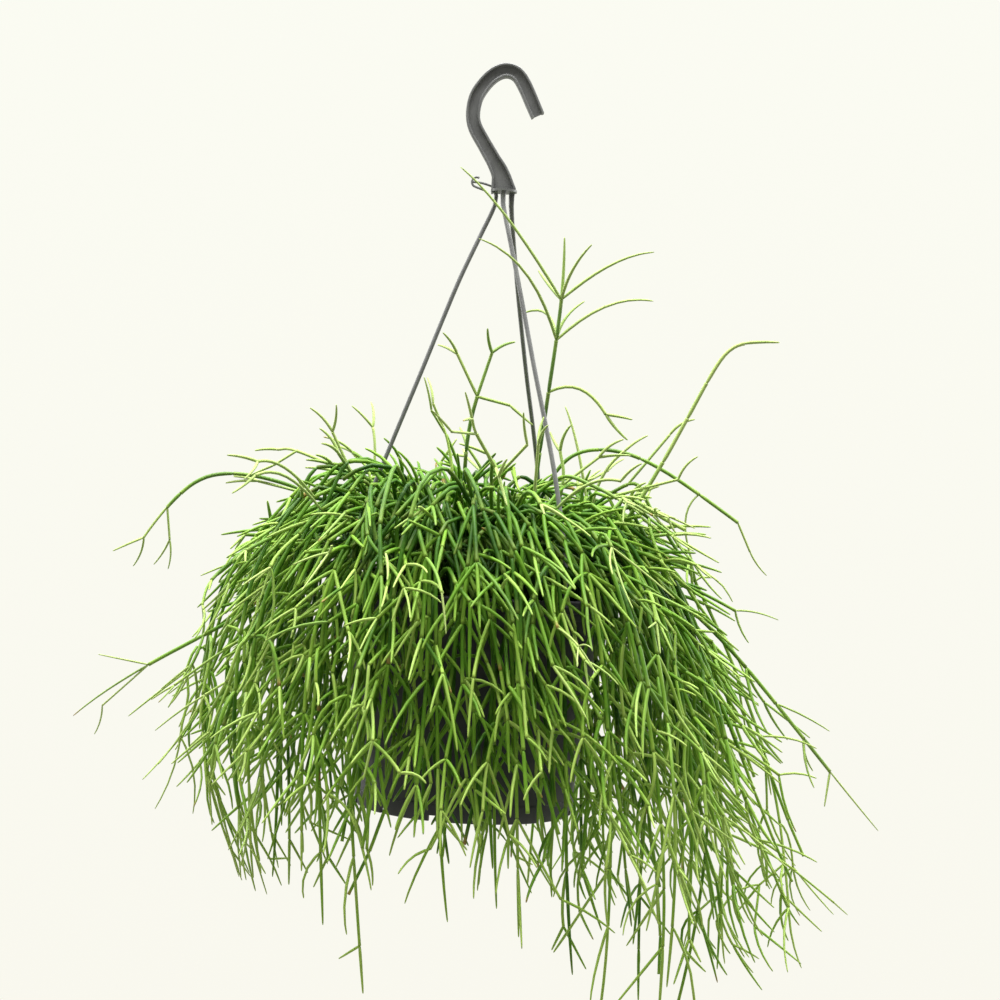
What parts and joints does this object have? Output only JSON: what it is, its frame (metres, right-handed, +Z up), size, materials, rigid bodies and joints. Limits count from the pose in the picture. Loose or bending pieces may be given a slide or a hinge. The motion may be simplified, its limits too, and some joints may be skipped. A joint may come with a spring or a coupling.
{
  "type": "potted rhipsalis in a hanging pot",
  "caption": "Thin-stemmed trailing rhipsalis cactus in a tapered dark plastic hanging pot, with a moulded hook hanger.",
  "frame": {"origin": "the saddle of the hanger's hook, where the hook rests on what it hangs from", "axes": "+Z up, +X to the right and -Y towards the viewer as in the picture; the hook opens to +X; the pot and hanger hang 3.4 degrees off plumb about +Y, as in the picture"},
  "size_m": [0.4129, 0.3026, 0.5068],
  "materials": {
    "pot_plastic": "satin",
    "hanger_plastic": "satin",
    "potting_mix": "matte",
    "stem": "satin"
  },
  "bodies": {
    "root": {"pot": "pot_plastic", "hanger": "hanger_plastic", "soil": "potting_mix", "cutting_01": "stem", "cutting_02": "stem", "cutting_03": "stem", "cutting_04": "stem", "cutting_05": "stem", "cutting_06": "stem", "cutting_07": "stem", "cutting_08": "stem", "cutting_09": "stem", "cutting_10": "stem", "cutting_11": "stem", "cutting_12": "stem", "cutting_13": "stem", "cutting_14": "stem", "cutting_15": "stem", "cutting_16": "stem", "cutting_17": "stem", "cutting_18": "stem", "cutting_19": "stem", "cutting_20": "stem"}
  },
  "joints": []
}
